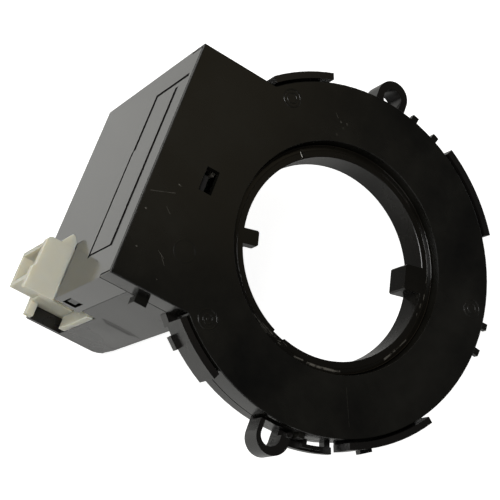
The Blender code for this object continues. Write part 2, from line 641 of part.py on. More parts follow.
def build_boards():
    top = SENSOR_BOARD_TOP
    half = BOX_Y - 2.7
    sensor = block("sensor_board", BOX_X0 + 2.9, BOX_X1 - 2.1, -half, half, top, top + BOARD_T)
    for side in (-1, 1):
        cut(sensor, disc("board_hole", BOX_X0 + 6.0, side * (half - 2.9), 1.1, top - 1, top + 3, 24))
    cut(sensor, block("board_slot", CONTROL_X + 1.9, CONTROL_X + 3.5, -7.0, 7.0, top - 1, top + 3))
    paint(sensor, "fr4_sensor_board", (0.02, 0.12, 0.06), 0.4)

    far = CONTROL_X + BOARD_T
    control = block("controller_board", CONTROL_X, far, -CONTROL_Y, CONTROL_Y, CONTROL_TOP, CONTROL_END)
    for i in range(TERMINALS):
        depth = TERMINAL_FIRST + TERMINAL_PITCH * i
        hole = TERMINAL_W / 2 + GAP
        low, high = TERMINAL_Y - hole, TERMINAL_Y + hole
        cutter = block("pin_hole", CONTROL_X - 3, CONTROL_X + 5, low, high, depth - hole, depth + hole)
        cut(control, cutter)
    paint(control, "fr4_controller_board", (0.02, 0.11, 0.06), 0.4)

    for letter, teeth, at in (("a", GEAR_A_TEETH, GEAR_A_AT), ("b", GEAR_B_TEETH, GEAR_B_AT)):
        name = "magnetic_sensor_" + letter
        x, y, _ = gear_place(teeth, at)
        chip = block(name, x - 2.45, x + 2.45, y - 1.95, y + 1.95, MAGNET_BACK + 0.4, top - GAP - 0.1)
        for side in (-1, 1):
            for i in range(4):
                low, high = sorted((side * 1.8, side * 3.0))
                leg = x - 1.905 + 1.27 * i
                add(chip, block("leg", leg - 0.2, leg + 0.2, y + low, y + high, top - GAP - 0.4, top - GAP))
        paint(chip, name + "_epoxy", (0.02, 0.02, 0.02), 0.5)

    near = CONTROL_X + BOARD_T + GAP
    deep = (CONTROL_TOP + CONTROL_END) / 2 - 12.0
    micro = block("microcontroller", near + 0.1, near + 1.5, -4.0, 6.0, deep, deep + 10.0)
    for i in range(8):
        step = -4.0 + 0.85 + i * 1.1857
        row = deep + 0.85 + i * 1.1857
        for d0, d1 in ((deep - 1.0, deep + 0.4), (deep + 9.6, deep + 11.0)):
            add(micro, block("leg", near, near + 0.45, step - 0.2, step + 0.2, d0, d1))
        for y0, y1 in ((-5.0, -3.6), (5.6, 7.0)):
            add(micro, block("leg", near, near + 0.45, y0, y1, row - 0.2, row + 0.2))
    paint(micro, "microcontroller_epoxy", (0.02, 0.02, 0.02), 0.5)

    deep = CONTROL_END - 29.5
    low = TERMINAL_Y + 4.6
    driver = block("bus_transceiver", near + 0.1, near + 1.6, low, low + 5.0, deep, deep + 4.0)
    for i in range(4):
        step = low + 0.6 + 1.27 * i
        for d0, d1 in ((deep - 1.0, deep + 0.4), (deep + 3.6, deep + 5.0)):
            add(driver, block("leg", near, near + 0.45, step - 0.2, step + 0.2, d0, d1))
    paint(driver, "bus_transceiver_epoxy", (0.02, 0.02, 0.02), 0.5)

    deep = CONTROL_END - 17.5
    low = TERMINAL_Y + 2.6
    power = block("voltage_regulator", near + 0.1, near + 2.3, low, low + 6.5, deep, deep + 6.0)
    add(power, block("tag", near, near + 0.5, low + 0.6, low + 5.9, deep + 5.5, deep + 7.6))
    for leg in (low + 0.8, low + 4.9):
        add(power, block("leg", near, near + 0.45, leg, leg + 0.8, deep - 2.4, deep + 0.5))
    paint(power, "voltage_regulator_epoxy", (0.025, 0.025, 0.025), 0.5)

    deep = (CONTROL_TOP + CONTROL_END) / 2 - 10.0
    crystal = block("clock_crystal", near, near + 1.2, 9.5, 12.7, deep, deep + 5.0)
    paint(crystal, "clock_crystal_can", (0.6, 0.6, 0.6), 0.3, 1.0)

    deep = CONTROL_END - 11.5
    for name, y in (("capacitor_a", 6.0), ("capacitor_b", 16.0)):
        can = slab(name, circle(0, 0, 2.6, 24), 0, 5.0)
        base = block("base", -2.7, 2.7, -2.7, 2.7, 0.0, 0.7)
        add(can, base)
        for vertex in can.data.vertices:
            high = (up(0.0) * MM) - vertex.co.z
            sideways = vertex.co.x
            vertex.co.x = near * MM + high
            vertex.co.z = up(deep) * MM + sideways
            vertex.co.y += y * MM
        shape = bmesh.new()
        shape.from_mesh(can.data)
        bmesh.ops.recalc_face_normals(shape, faces=shape.faces)
        shape.to_mesh(can.data)
        shape.free()
        paint(can, name + "_can", (0.55, 0.55, 0.55), 0.3, 1.0)

    # Right-angle header from the sensor board down to the controller board
    low = top + BOARD_T + GAP
    bar = block("board_link_header", near, near + 2.4, -6.0, 6.0, low + 1.2, low + 3.7)
    for i in range(6):
        y = -5.0 + 2.0 * i
        add(bar, block("pin_up", near + 0.9, near + 1.5, y - 0.3, y + 0.3, top - 1.0, low + 1.6))
        add(bar, block("pin_down", near + 0.7, near + 1.3, y - 0.3, y + 0.3, low + 3.0, low + 7.5))
    paint(bar, "board_link_header_nylon", (0.03, 0.03, 0.03), 0.5)


def build_connector():
    hood = block("connector_housing", HOOD_X, HOOD_BACK_X, HOOD_Y0, HOOD_Y1, COVER_END + GAP, HOOD_END)
    top_back = COVER_END + GAP + 1.2
    low, wall_x, lip = -BOX_Y - 0.5, BOX_X0 - GAP, HOOD_LIP_X + 0.3
    wall = [(lip - 0.7, low + 0.4), (lip - 0.3, low), (wall_x, low), (wall_x, HOOD_Y1)]
    wall += [(lip + 1.3, HOOD_Y1), (lip + 0.5, HOOD_Y1 - 0.3), (lip, HOOD_Y1 - 1.0)]
    wall += [(lip - 0.1, HOOD_Y0 + 1.8), (lip - 0.7, HOOD_Y0 + 1.0)]
    add(hood, slab("front_wall", wall, HOOD_TOP, top_back))
    near, far = COVER_END + GAP, HOOD_END - 0.7
    add(hood, block("leg", HOOD_BACK_X - 1.5, HOOD_BACK_X, -BOX_Y, HOOD_Y0 + 0.5, near, far))
    wall_x, post_x = BOX_X0 + 0.1, BOX_X0 + 2.2
    low, high = HOOD_Y0 - 0.6, HOOD_Y0 + 0.6
    add(hood, block("floor", wall_x, HOOD_BACK_X, low, high, HOOD_END - 7.2, POST_BACK))
    add(hood, block("rear_post", wall_x, post_x, -BOX_Y, HOOD_Y0 + 0.4, HOOD_END - 0.2, POST_BACK))
    add(hood, block("rear_foot", wall_x, post_x, low, high + 0.6, HOOD_END - 2.2, POST_BACK))
    low = HOOD_Y1 - 0.5
    fin = [(BOX_X0 - 4.0, low), (BOX_X0 - GAP, low), (BOX_X0 - GAP, low + 2.0)]
    fin += [(BOX_X0 - 1.1, low + 3.5), (BOX_X0 - 1.9, low + 3.8), (BOX_X0 - 3.6, low + 1.3)]
    add(hood, slab("fin", fin, HOOD_TOP + 0.25, HOOD_TOP + 1.75))
    low = HOOD_Y0 + HOOD_T
    high = HOOD_Y1 - HOOD_T
    cut(hood, block("socket", HOOD_X - 2, HOOD_FLOOR_X, low, high, SOCKET_TOP, HOOD_END - HOOD_T))
    cut(hood, block("room", HOOD_FLOOR_X + 1.6, HOOD_BACK_X + 1.4, low, high, SOCKET_TOP, HOOD_END - HOOD_T))
    near, far = SOCKET_TOP + 2.7, SOCKET_TOP + 3.9
    key = block("key", HOOD_X + 3.1, HOOD_FLOOR_X + 0.4, high - 0.9, high + 0.3, near, far)
    add(hood, key)
    hole = TERMINAL_W / 2 + GAP
    low, high = TERMINAL_Y - hole, TERMINAL_Y + hole
    for i in range(TERMINALS):
        depth = TERMINAL_FIRST + TERMINAL_PITCH * i
        near, far = HOOD_FLOOR_X - 2, HOOD_FLOOR_X + 3
        cut(hood, block("pin_hole", near, far, low, high, depth - hole, depth + hole))
    near = CONTROL_X + BOARD_T + GAP
    paint(hood, "natural_pbt_connector", (0.82, 0.8, 0.7), 0.4)
    for i in range(TERMINALS):
        depth = TERMINAL_FIRST + TERMINAL_PITCH * i
        half = TERMINAL_W / 2
        low = TERMINAL_Y - half
        high = TERMINAL_Y + half
        pin = block("terminal_" + str(i + 1), HOOD_X + 1.5, near + 0.5, low, high, depth - half, depth + half)
        paint(pin, "tinned_terminal_" + str(i + 1), (0.7, 0.68, 0.62), 0.25, 1.0)


def main():
    clear_scene()
    build_cover()
    build_housing()
    build_side_cover()
    build_rotor()
    build_gear("measuring_gear_a", GEAR_A_TEETH, GEAR_A_AT, (0.75, 0.74, 0.7))
    build_gear("measuring_gear_b", GEAR_B_TEETH, GEAR_B_AT, (0.75, 0.74, 0.7))
    build_magnet("gear_magnet_a", GEAR_A_TEETH, GEAR_A_AT)
    build_magnet("gear_magnet_b", GEAR_B_TEETH, GEAR_B_AT)
    build_boards()
    build_connector()


main()
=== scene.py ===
# %% [markdown]
# # Steering angle sensor
# A steering angle sensor sits round the steering column and tells the car how far the wheel is turned. This
# one has a flat ring with a deep box beside it, both moulded in black plastic, and a pale socket for the
# harness. Inside the ring a separate rotor turns with the column. The solid model comes in first as a fixed
# frame, so every piece below is made in its coordinates: metres, the origin on the rotor's axis, +Z out of
# the front cover.

# %% Load the frame
import math

import bmesh
import bpy
from mathutils import Matrix, Vector


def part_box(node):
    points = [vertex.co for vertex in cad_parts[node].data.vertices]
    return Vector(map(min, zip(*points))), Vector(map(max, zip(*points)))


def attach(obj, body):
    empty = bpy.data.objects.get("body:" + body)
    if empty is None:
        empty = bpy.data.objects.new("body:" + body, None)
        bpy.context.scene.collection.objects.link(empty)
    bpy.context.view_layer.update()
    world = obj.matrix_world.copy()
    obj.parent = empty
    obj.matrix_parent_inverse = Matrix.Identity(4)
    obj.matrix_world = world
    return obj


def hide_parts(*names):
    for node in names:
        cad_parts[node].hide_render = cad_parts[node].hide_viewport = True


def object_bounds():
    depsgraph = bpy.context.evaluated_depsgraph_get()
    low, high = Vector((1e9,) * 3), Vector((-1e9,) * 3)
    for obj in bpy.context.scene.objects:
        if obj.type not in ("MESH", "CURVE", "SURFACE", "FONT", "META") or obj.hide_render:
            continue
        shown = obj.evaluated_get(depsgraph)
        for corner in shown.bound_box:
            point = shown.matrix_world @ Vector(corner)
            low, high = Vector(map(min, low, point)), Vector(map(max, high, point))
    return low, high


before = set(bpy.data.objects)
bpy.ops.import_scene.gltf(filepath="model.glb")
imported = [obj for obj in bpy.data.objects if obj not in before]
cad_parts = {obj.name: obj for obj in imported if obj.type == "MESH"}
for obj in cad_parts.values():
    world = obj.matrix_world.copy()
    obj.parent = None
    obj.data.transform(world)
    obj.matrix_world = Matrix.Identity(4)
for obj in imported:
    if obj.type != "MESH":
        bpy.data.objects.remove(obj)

cad_low, cad_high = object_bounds()
print("frame box in mm", [round(1000 * v, 1) for v in cad_low], [round(1000 * v, 1) for v in cad_high])

# %% [markdown]
# Drawings of small mouldings are in millimetres, while Blender's scene is in metres. One short function keeps
# the numbers readable. Depths on this part are measured back from the front face, which stands 8.2 mm in
# front of the plane that the two ears are screwed to.

# %% Millimetres and depths
MM = 0.001
FRONT = 8.2


def mm(x, y, depth=0.0):
    """A point given in millimetres, with its depth behind the front face."""
    return Vector((x * MM, y * MM, (FRONT - depth) * MM))


print("front face at z =", mm(0, 0)[2])

# %% [markdown]
# The camera looks down at the front cover from the lower left, so that the left side of the box shows. Its
# place and turn were worked out from edges of the part with known sizes. It is a long lens from over a third
# of a metre away, so the ring looks almost as a drawing shows it.

# %% Camera
look_right = Vector((0.8206, 0.3256, 0.4698))
look_up = Vector((-0.4571, 0.8672, 0.1974))
look_ahead = Vector((0.3431, 0.3768, -0.8604))
look_from = Vector((-0.1388, -0.1376, 0.2989))
camera = bpy.data.objects.new("camera", bpy.data.cameras.new("camera"))
bpy.context.scene.collection.objects.link(camera)
turn = Matrix((look_right, look_up, -look_ahead)).transposed().to_4x4()
camera.matrix_world = Matrix.Translation(look_from) @ turn
camera.data.lens = 102.76
camera.data.sensor_width = 36.0
camera.data.clip_start = 0.01
bpy.context.scene.camera = camera
bpy.context.scene.view_settings.view_transform = "Standard"
print("camera", round(look_from.length, 3), "m from the origin, lens", round(camera.data.lens, 1), "mm")

# %% [markdown]
# Colours are written as the sRGB hex values that a colour picker shows on a photo. Cycles mixes light in
# linear values, so each hex colour is turned to linear once, here.

# %% Colours


def linear(hex_colour):
    """An sRGB hex colour as linear red, green, blue and alpha."""
    parts = [int(hex_colour[i:i + 2], 16) / 255 for i in (0, 2, 4)]
    return tuple(v / 12.92 if v <= 0.04045 else ((v + 0.055) / 1.055) ** 2.4 for v in parts) + (1.0,)


print("mid grey 808080 is", [round(v, 3) for v in linear("808080")[:3]])

# %% [markdown]
# Every finish is a small tree of nodes. One function adds a node, sets its options and feeds its inputs,
# either with a plain value or with another node's output. Another turns a finished bmesh into an object.

# %% Nodes and objects


def add_node(tree, kind, options=None, **feeds):
    """A node of a kind; a feed's name is the input's, with _ for a space, or i and its number."""
    made = tree.nodes.new("ShaderNode" + kind)
    for name, value in (options or {}).items():
        setattr(made, name, value)
    for name, value in feeds.items():
        key = int(name[1:]) if name[0] == "i" and name[1:].isdigit() else name.replace("_", " ")
        if isinstance(value, bpy.types.NodeSocket):
            tree.links.new(value, made.inputs[key])
        else:
            made.inputs[key].default_value = value
    return made


def new_finish(name):
    """An empty material with its output, its shader and the piece's own coordinates."""
    finish = bpy.data.materials.new(name)
    finish.use_nodes = True
    tree = finish.node_tree
    tree.nodes.clear()
    shader = add_node(tree, "BsdfPrincipled")
    output = add_node(tree, "OutputMaterial")
    tree.links.new(shader.outputs[0], output.inputs["Surface"])
    place = add_node(tree, "TexCoord").outputs["Object"]
    return finish, tree, shader, place


def new_object(name, shape, finish):
    """An object in the scene, made from a bmesh that is then freed."""
    mesh = bpy.data.meshes.new(name)
    shape.to_mesh(mesh)
    shape.free()
    mesh.materials.append(finish)
    made = bpy.data.objects.new(name, mesh)
    bpy.context.scene.collection.objects.link(made)
    return made


# %% [markdown]
# The part stands on a white table, which is why its dark sides look grey in the photo: at a low angle black
# plastic mirrors the white around it. The table is plain white paint, lit by the same lamps as the part, so
# what the sides mirror has its shadows in it. To the camera it also glows a little, which makes the
# background an even white. The floor is level with the back end of the box.

# %% Floor


def build_floor():
    """The white table; its glow is what the camera sees and what shiny surfaces mirror."""
    finish = bpy.data.materials.new("white_painted_table")
    finish.use_nodes = True
    tree = finish.node_tree
    tree.nodes.clear()
    rays = add_node(tree, "LightPath").outputs
    mirrored = add_node(
        tree, "Math", {"operation": "MAXIMUM"}, i0=rays["Is Glossy Ray"], i1=rays["Is Transmission Ray"]
    )
    mirrored = add_node(tree, "Math", {"operation": "MULTIPLY"}, i0=mirrored.outputs[0], i1=GLOW_MIRRORED)
    glow = add_node(
        tree, "Math", {"operation": "MULTIPLY_ADD"},
        i0=rays["Is Camera Ray"], i1=GLOW_SEEN, i2=mirrored.outputs[0],
    )
    matt = add_node(tree, "BsdfDiffuse", Color=linear("E4E4E0"))
    light = add_node(tree, "Emission", Color=(1, 1, 1, 1), Strength=glow.outputs[0])
    both = add_node(tree, "AddShader", i0=matt.outputs[0], i1=light.outputs[0])
    output = add_node(tree, "OutputMaterial")
    tree.links.new(both.outputs[0], output.inputs["Surface"])
    shape = bmesh.new()
    bmesh.ops.create_grid(shape, x_segments=1, y_segments=1, size=FLOOR_HALF_WIDTH)
    bmesh.ops.translate(shape, vec=(0, 0, cad_low[2] - FLOOR_GAP), verts=shape.verts)
    floor = new_object("white_table", shape, finish)


FLOOR_HALF_WIDTH = 1.6
FLOOR_GAP = 0.3 * MM
GLOW_SEEN = 0.92
GLOW_MIRRORED = 0.09
build_floor()
print("table at z =", round(cad_low[2] - FLOOR_GAP, 4))

# %% [markdown]
# A photographer lights a black part mostly by what it reflects. The main soft box stands high on the left, so
# the deep box throws its shadow under the ring. Nothing bright stands where the flat front cover would mirror
# it, only a dim warm card above the left half, so the cover stays dark and fades to the right. A strip gives
# the rims glints.

# %% Lights


def soft_box(name, place, aim, size, power, colour="FFFFFF"):
    """A lamp with a lit rectangle, in metres and watts, that the camera doesn't see."""
    lamp = bpy.data.lights.new(name, "AREA")
    lamp.shape = "RECTANGLE"
    lamp.size, lamp.size_y = size
    lamp.energy = power
    lamp.color = linear(colour)[:3]
    holder = bpy.data.objects.new(name, lamp)
    bpy.context.scene.collection.objects.link(holder)
    holder.location = place
    holder.rotation_euler = (Vector(aim) - Vector(place)).to_track_quat("-Z", "Y").to_euler()
    holder.visible_camera = False


soft_box("main_soft_box", (-0.31, -0.09, 0.32), (0, 0, -0.01), (0.22, 0.22), 1.85)
soft_box("front_soft_box", (-0.02, -0.42, 0.42), (0, 0, -0.01), (0.3, 0.3), 0.35)
soft_box("warm_card", (0.0, 0.2, 0.30), (0, 0.2, 0), (0.2, 0.2), 0.025, "FAE6B8")
soft_box("rim_strip", (0.42, 0.29, 0.24), (0, 0, 0), (0.3, 0.06), 0.1)

WORLD_LEVEL = 0.04
world = bpy.data.worlds.new("studio")
world.use_nodes = True
world.node_tree.nodes["Background"].inputs[0].default_value = linear("FFFFFF")
world.node_tree.nodes["Background"].inputs[1].default_value = WORLD_LEVEL
bpy.context.scene.world = world
print("four soft boxes and a world at", WORLD_LEVEL)

# %% [markdown]
# This part has been handled and fitted once, so its front has a few scratches and rubbed spots. Each one is a
# short line: a point's distance from the line says how strong the mark is, and a noise breaks the line up,
# because a scratch skips. Scratched plastic turns pale and dull. The same pale lines on the rotor are partly
# scuffs and partly painted highlights: those along the bottom and the right of its lip stand for glints.

# %% Scratches and painted glints
# The pale of scratched plastic, also used as a painted highlight for the glints on the rotor's lip.
SCRATCH_AND_GLINT_COLOUR = "7A766C"
SCRATCH_CORE = 0.3
SKIP_MM = 0.9
SKIP_FROM, SKIP_TO = 0.32, 0.48


def scratch_and_glint_depth(tree, place, marks):
    """How strong a pale mark is at a point, from 0 to 1: a scratch, and on the rotor partly a painted glint.

    A mark is two ends in mm, the depth of its face, its width in mm and its strength.
    """
    deepest = None
    for x0, y0, x1, y1, depth, width, strength in marks:
        start = mm(x0, y0, depth)
        run = mm(x1, y1, depth) - start
        from_start = add_node(tree, "VectorMath", {"operation": "SUBTRACT"}, i0=place, i1=start).outputs[0]
        part = add_node(
            tree, "VectorMath", {"operation": "DOT_PRODUCT"}, i0=from_start, i1=run / run.length_squared
        ).outputs["Value"]
        part = add_node(tree, "Clamp", Value=part).outputs[0]
        nearest = add_node(tree, "VectorMath", {"operation": "SCALE"}, i0=run, Scale=part).outputs[0]
        off = add_node(
            tree, "VectorMath", {"operation": "DISTANCE"}, i0=from_start, i1=nearest
        ).outputs["Value"]
        near = add_node(
            tree, "MapRange", Value=off, i1=SCRATCH_CORE * width * MM, i2=width * MM, i3=strength, i4=0.0
        ).outputs[0]
        if deepest is None:
            deepest = near
        else:
            deepest = add_node(tree, "Math", {"operation": "MAXIMUM"}, i0=deepest, i1=near).outputs[0]
    skips = add_node(tree, "TexNoise", Vector=place, Scale=1000 / SKIP_MM, Detail=3.0).outputs["Fac"]
    skips = add_node(tree, "MapRange", Value=skips, i1=SKIP_FROM, i2=SKIP_TO).outputs[0]
    return add_node(tree, "Math", {"operation": "MULTIPLY"}, i0=deepest, i1=skips).outputs[0]


FRONT_MARKS = [
    (-51.2, -9.3, -45.3, -6.9, 0.0, 0.10, 0.22), (-45.4, -4.5, -44.6, -4.65, 0.0, 0.16, 0.45),
    (-46.1, -11.0, -44.6, -12.2, 0.0, 0.08, 0.22), (-50.7, -13.8, -50.5, -13.8, 0.0, 0.22, 0.4),
    (-44.0, -21.5, -42.0, -22.7, 0.0, 0.08, 0.28), (-42.9, -22.3, -41.3, -24.1, 0.0, 0.08, 0.22),
    (-49.3, -23.1, -49.1, -23.1, 0.0, 0.2, 0.3), (-41.9, -27.8, -41.7, -28.0, 0.0, 0.16, 0.25),
    (-14.1, 33.9, -13.1, 33.0, 0.0, 0.12, 0.2), (-12.1, 32.5, -11.9, 32.3, 0.0, 0.2, 0.3),
    (-11.0, 31.3, -10.8, 31.1, 0.0, 0.2, 0.3), (-10.4, 32.9, -10.1, 32.6, 0.0, 0.18, 0.22),
    (-12.1, 28.9, -11.8, 28.6, 0.0, 0.16, 0.2), (13.0, -29.6, 17.0, -38.0, 0.0, 0.10, 0.06),
]
# The rotor's pale marks are partly scuffs and partly painted highlights: the runs along the bottom and the
# right of the lip stand for glints of light on it.
ROTOR_SCUFFS_AND_GLINTS = [
    (-13.6, -24.3, -11.6, -25.3, 2.3, 0.14, 0.22), (-12.9, -24.9, -10.6, -25.9, 2.3, 0.3, 0.12),
    (-11.4, -25.1, -9.9, -25.9, 2.3, 0.12, 0.2), (-8.3, -25.7, -7.4, -26.0, 2.3, 0.16, 0.35),
    (-7.3, -26.3, -6.4, -26.2, 2.3, 0.12, 0.4), (-6.9, -26.7, -6.1, -26.9, 2.3, 0.14, 0.3),
    (-5.6, -26.0, -4.4, -26.5, 2.3, 0.10, 0.2), (24.4, 12.3, 25.0, 11.2, 2.3, 0.10, 0.3),
    (25.4, 10.0, 25.7, 9.0, 2.3, 0.12, 0.4), (26.9, 3.4, 27.1, 2.0, 2.3, 0.12, 0.5),
    (26.7, 0.6, 26.8, -0.6, 2.3, 0.14, 0.4), (26.5, -2.2, 26.6, -2.9, 2.3, 0.10, 0.35),
    (-1.6, -27.9, 0.7, -27.7, 2.3, 0.3, 0.35), (2.2, -27.8, 5.6, -27.3, 2.3, 0.4, 0.45),
    (5.6, -27.3, 9.8, -26.3, 2.3, 0.4, 0.5), (9.8, -26.3, 11.1, -25.8, 2.3, 0.3, 0.45),
    (21.8, -17.3, 23.7, -13.9, 2.3, 0.36, 0.45), (23.7, -13.9, 25.8, -10.1, 2.3, 0.26, 0.4),
    (-12.5, -24.5, -9.2, -25.6, 2.3, 0.5, 0.2), (-15.3, -23.3, -12.5, -24.5, 2.3, 0.2, 0.25),
    (26.0, 8.8, 26.3, 6.4, 2.3, 0.10, 0.4), (15.3, 22.8, 13.2, 24.3, 2.3, 0.10, 0.3),
    (13.2, 24.3, 11.7, 25.2, 2.3, 0.08, 0.25),
]
print(len(FRONT_MARKS), "marks on the front and", len(ROTOR_SCUFFS_AND_GLINTS), "on the rotor")

# %% [markdown]
# The covers and the housing are injection moulded PBT, a stiff polyester that electrical housings are made
# of. A polished mould gives it a soft shine with a slight haze, in patches a couple of centimetres across
# where handling has dulled it. The grain of the mould is about 0.1 mm, too fine to show at this distance, so
# it is drawn at 0.5 mm. The sunk outline on the side cover was eroded into the mould by sparks, which leaves
# it matt and so much darker. The hook that reaches inside, behind the latch window, has the same matt finish.
# A noise keeps near its middle, so only that part of it is spread over the full range.

# %% Moulded plastic
PATCH_MM = 22
NOISE_LOW, NOISE_HIGH = 0.3, 0.7
CLOUD_LOW, CLOUD_HIGH = 0.32, 0.68
GRAIN_STRENGTH = 0.018
GRAIN_HEIGHT = 0.04 * MM
OUTLINE_SKIN = 0.25 * MM
OUTLINE_BAND = 0.5 * MM
OUTLINE_REACH = 26 * MM
HOOK_BEHIND = 8 * MM
HOOK_ROUGHNESS = 0.7


def moulded(name, dark, pale, rough, haze, grain=0.5, coat=0.0, ior=1.55, marks=(), matt_behind=None):
    """A moulded plastic with patches, grain in mm, placed pale marks, and a matt floor in sunk lines. The
    marks are scratches, and on the rotor partly painted glints.
    """
    finish, tree, shader, place = new_finish(name)
    patch = add_node(tree, "TexNoise", Vector=place, Scale=1000 / PATCH_MM, Detail=6.0, Roughness=0.62)
    cloud = add_node(tree, "MapRange", Value=patch.outputs["Fac"], i1=CLOUD_LOW, i2=CLOUD_HIGH)
    tint = add_node(
        tree, "Mix", {"data_type": "RGBA"}, i0=cloud.outputs[0], i6=linear(dark), i7=linear(pale)
    )
    shine = add_node(
        tree, "MapRange", Value=patch.outputs["Fac"],
        i1=NOISE_LOW, i2=NOISE_HIGH, i3=rough - haze, i4=rough + haze,
    )
    fine = add_node(tree, "TexNoise", Vector=place, Scale=1000 / grain, Detail=2.0)
    colour = tint.outputs[2]
    worn = shine.outputs[0]
    if marks:
        scratch_and_glint_mark = scratch_and_glint_depth(tree, place, marks)
        # Pale marks mixed into the colour: scratches, and on the rotor partly painted glints.
        colour = add_node(
            tree, "Mix", {"data_type": "RGBA"}, i0=scratch_and_glint_mark, i6=colour, i7=linear(SCRATCH_AND_GLINT_COLOUR)
        ).outputs[2]
        worn = add_node(tree, "Math", {"operation": "ADD"}, i0=worn, i1=scratch_and_glint_mark).outputs[0]
    if matt_behind is not None:
        across = add_node(tree, "SeparateXYZ", Vector=place).outputs
        behind = add_node(
            tree, "Math", {"operation": "COMPARE"},
            i0=across["X"], i1=matt_behind + OUTLINE_BAND, i2=OUTLINE_BAND,
        )
        middle = add_node(tree, "Math", {"operation": "COMPARE"}, i0=across["Y"], i1=0.0, i2=OUTLINE_REACH)
        sunk = add_node(tree, "Math", {"operation": "MULTIPLY"}, i0=behind.outputs[0], i1=middle.outputs[0])
        worn = add_node(tree, "Math", {"operation": "MAXIMUM"}, i0=worn, i1=sunk.outputs[0]).outputs[0]
        inner = add_node(
            tree, "Math", {"operation": "GREATER_THAN"}, i0=across["X"], i1=matt_behind + HOOK_BEHIND
        )
        dull = add_node(tree, "Math", {"operation": "MULTIPLY"}, i0=inner.outputs[0], i1=HOOK_ROUGHNESS)
        worn = add_node(tree, "Math", {"operation": "MAXIMUM"}, i0=worn, i1=dull.outputs[0]).outputs[0]
        glaze = add_node(tree, "Math", {"operation": "MULTIPLY_ADD"}, i0=inner.outputs[0], i1=-coat, i2=coat)
        tree.links.new(glaze.outputs[0], shader.inputs["Coat Weight"])
    bump = add_node(
        tree, "Bump", Strength=GRAIN_STRENGTH, Distance=GRAIN_HEIGHT, Height=fine.outputs["Fac"]
    )
    tree.links.new(colour, shader.inputs["Base Color"])
    tree.links.new(worn, shader.inputs["Roughness"])
    tree.links.new(bump.outputs[0], shader.inputs["Normal"])
    shader.inputs["IOR"].default_value = ior
    shader.inputs["Coat Weight"].default_value = coat
    shader.inputs["Coat Roughness"].default_value = 0.07
    return finish


side_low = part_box("side_cover")[0]
cover_pbt = moulded("polished_black_pbt_front", "080807", "151410", 0.25, 0.09, marks=FRONT_MARKS)
side_pbt = moulded(
    "polished_black_pbt_side", "0F0E0D", "13110F", 0.11, 0.015, coat=0.3,
    matt_behind=side_low[0] + OUTLINE_SKIN,
)
housing_pbt = moulded("satin_black_pbt_housing", "0F0E0D", "13110F", 0.27, 0.04)
print("side cover's outer face at x =", round(side_low[0], 4))

# %% [markdown]
# The rotor is acetal, a slippery plastic that needs no bearing. The column's hub pushes against its lugs, so
# lugs and rim are rubbed in places; its pale rim marks are partly these and partly painted glints. Its mould
# grain too is finer than what shows, and is drawn at 0.8 mm. The two measuring gears are the same plastic
# without pigment. Their grey is partly a film of grease and partly painted shade, for they sit in the dark
# inside the housing. A little of one shows through the latch window.

# %% Acetal
rotor_pom = moulded(
    "black_acetal_rotor", "0C0B08", "100E0A", 0.25, 0.06, grain=0.8, ior=1.48, marks=ROTOR_SCUFFS_AND_GLINTS
)
rubbed_pom = moulded("black_acetal_rubbed_ridge", "0F0D0A", "15120D", 0.13, 0.03, grain=0.8, ior=1.48)
# The gears' darker grey is partly grease and partly painted shade for the inside of the housing.
gear_pom_greased_and_shaded = moulded("natural_acetal_gear_grease_and_painted_shade", "625F57", "706D64", 0.35, 0.04, grain=0.8, ior=1.48)
print("acetal finishes:", ", ".join(finish.name for finish in (rotor_pom, rubbed_pom, gear_pom_greased_and_shaded)))

# %% [markdown]
# The socket is the same polyester without pigment. It is a warm off-white, a little translucent at its thin
# edges, with the faint cloudiness of an unpigmented moulding.

# %% Natural plastic
SOCKET_CLOUD_MM = 7
SOCKET_GRAIN_MM = 0.6
SOCKET_GRAIN_HEIGHT = 0.05 * MM
LIGHT_REACH = 3 * MM


def natural_plastic(name, dark, pale):
    """A cloudy plastic without pigment, with light that passes a few millimetres through it."""
    finish, tree, shader, place = new_finish(name)
    cloud = add_node(tree, "TexNoise", Vector=place, Scale=1000 / SOCKET_CLOUD_MM, Detail=4.0, Roughness=0.6)
    tint = add_node(
        tree, "Mix", {"data_type": "RGBA"}, i0=cloud.outputs["Fac"], i6=linear(dark), i7=linear(pale)
    )
    shine = add_node(
        tree, "MapRange", Value=cloud.outputs["Fac"], i1=NOISE_LOW, i2=NOISE_HIGH, i3=0.30, i4=0.42
    )
    fine = add_node(tree, "TexNoise", Vector=place, Scale=1000 / SOCKET_GRAIN_MM, Detail=2.0)
    bump = add_node(tree, "Bump", Strength=0.1, Distance=SOCKET_GRAIN_HEIGHT, Height=fine.outputs["Fac"])
    tree.links.new(tint.outputs[2], shader.inputs["Base Color"])
    tree.links.new(shine.outputs[0], shader.inputs["Roughness"])
    tree.links.new(bump.outputs[0], shader.inputs["Normal"])
    shader.inputs["IOR"].default_value = 1.57
    shader.inputs["Subsurface Weight"].default_value = 1.0
    shader.inputs["Subsurface Radius"].default_value = (1.0, 0.85, 0.62)
    shader.inputs["Subsurface Scale"].default_value = LIGHT_REACH
    return finish


socket_pbt = natural_plastic("unpigmented_pbt_socket", "BCBAAA", "CAC8BA")
print(socket_pbt.name, "lets light", round(LIGHT_REACH / MM, 1), "mm in")

# %% [markdown]
# Inside the housing are the boards and their parts. A circuit board is woven glass in epoxy under green
# solder mask, and the weave shows through faintly. Its threads are half a millimetre apart, and a plain
# weave repeats at every second one. A wave node repeats at 0.31 divided by its scale, so the scale below
# gives bands a millimetre apart. Chips are dull moulded epoxy, cans are drawn aluminium, magnets are sintered
# ferrite and the terminals are tin plated.

# %% Inner finishes
THREAD_MM = 0.5
WAVE_DIVISOR = 6.3


